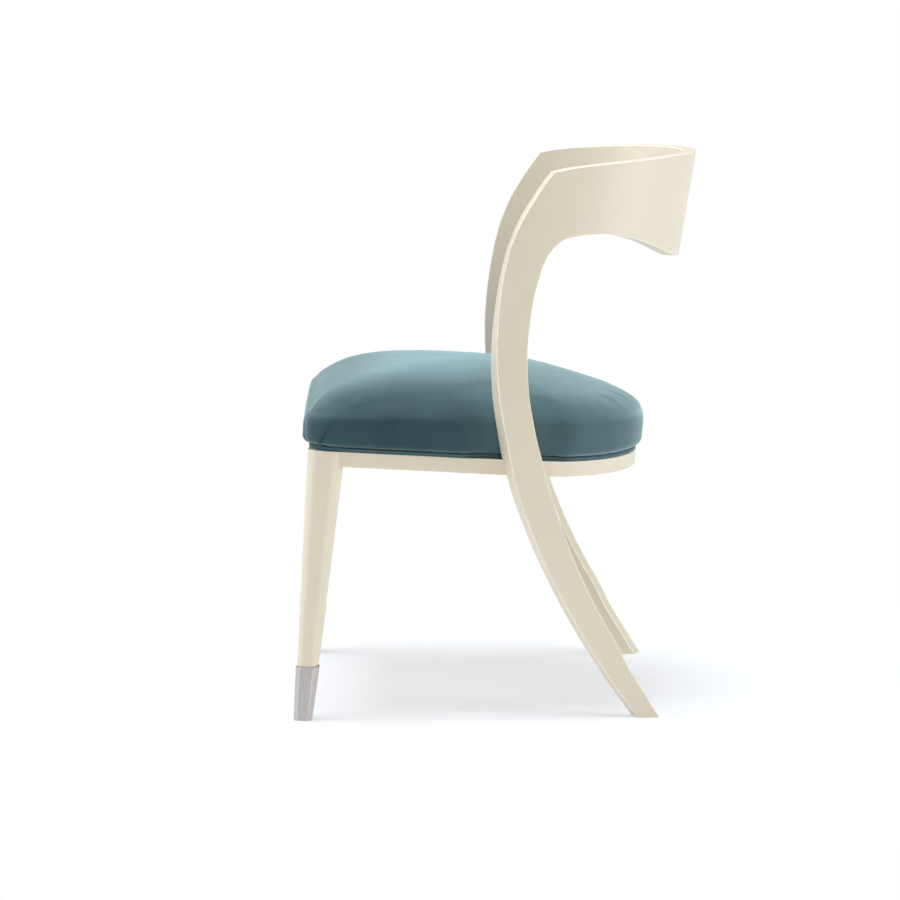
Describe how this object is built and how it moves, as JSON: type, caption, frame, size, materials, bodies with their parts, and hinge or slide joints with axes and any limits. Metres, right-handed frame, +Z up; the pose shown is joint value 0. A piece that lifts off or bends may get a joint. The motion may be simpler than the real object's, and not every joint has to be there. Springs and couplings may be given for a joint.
{
  "type": "klismos chair",
  "caption": "Armless klismos dining chair with sabre rear legs, a wrap-around crest, tapered front legs in metal ferrules and a crowned upholstered seat.",
  "frame": {"origin": "middle of the footprint on the floor", "axes": "+Z up, the front faces -Y, the sitter's left hand is at +X"},
  "size_m": [0.5108, 0.5896, 0.802],
  "materials": {
    "painted_wood": "satin cream paint on wood",
    "ferrule_metal": "brushed nickel",
    "plain_wood": "bare beech and plywood",
    "steel": "zinc plated",
    "velvet": "short pile velvet"
  },
  "bodies": {
    "root": {"rail_front": "painted_wood", "rail_side_left": "painted_wood", "rail_side_right": "painted_wood", "rail_back": "painted_wood", "front_leg_left": "painted_wood", "front_leg_right": "painted_wood", "ferrule_left": "ferrule_metal", "ferrule_right": "ferrule_metal", "rear_leg_left": "painted_wood", "rear_leg_right": "painted_wood", "crest": "painted_wood", "crest_dowel_1_left": "plain_wood", "crest_dowel_1_right": "plain_wood", "crest_dowel_2_left": "plain_wood", "crest_dowel_2_right": "plain_wood", "block_front_left": "plain_wood", "block_front_right": "plain_wood", "block_rear_left": "plain_wood", "block_rear_right": "plain_wood", "block_screw_1_left": "steel", "block_screw_1_right": "steel", "block_screw_2_left": "steel", "block_screw_2_right": "steel", "leg_bolt_1_left": "steel", "leg_bolt_1_right": "steel", "leg_bolt_2_left": "steel", "leg_bolt_2_right": "steel", "seat_screw_1_left": "steel", "seat_screw_1_right": "steel", "seat_screw_2_left": "steel", "seat_screw_2_right": "steel", "seat_board": "plain_wood", "seat_welt": "velvet", "seat_cushion": "velvet"}
  },
  "joints": []
}
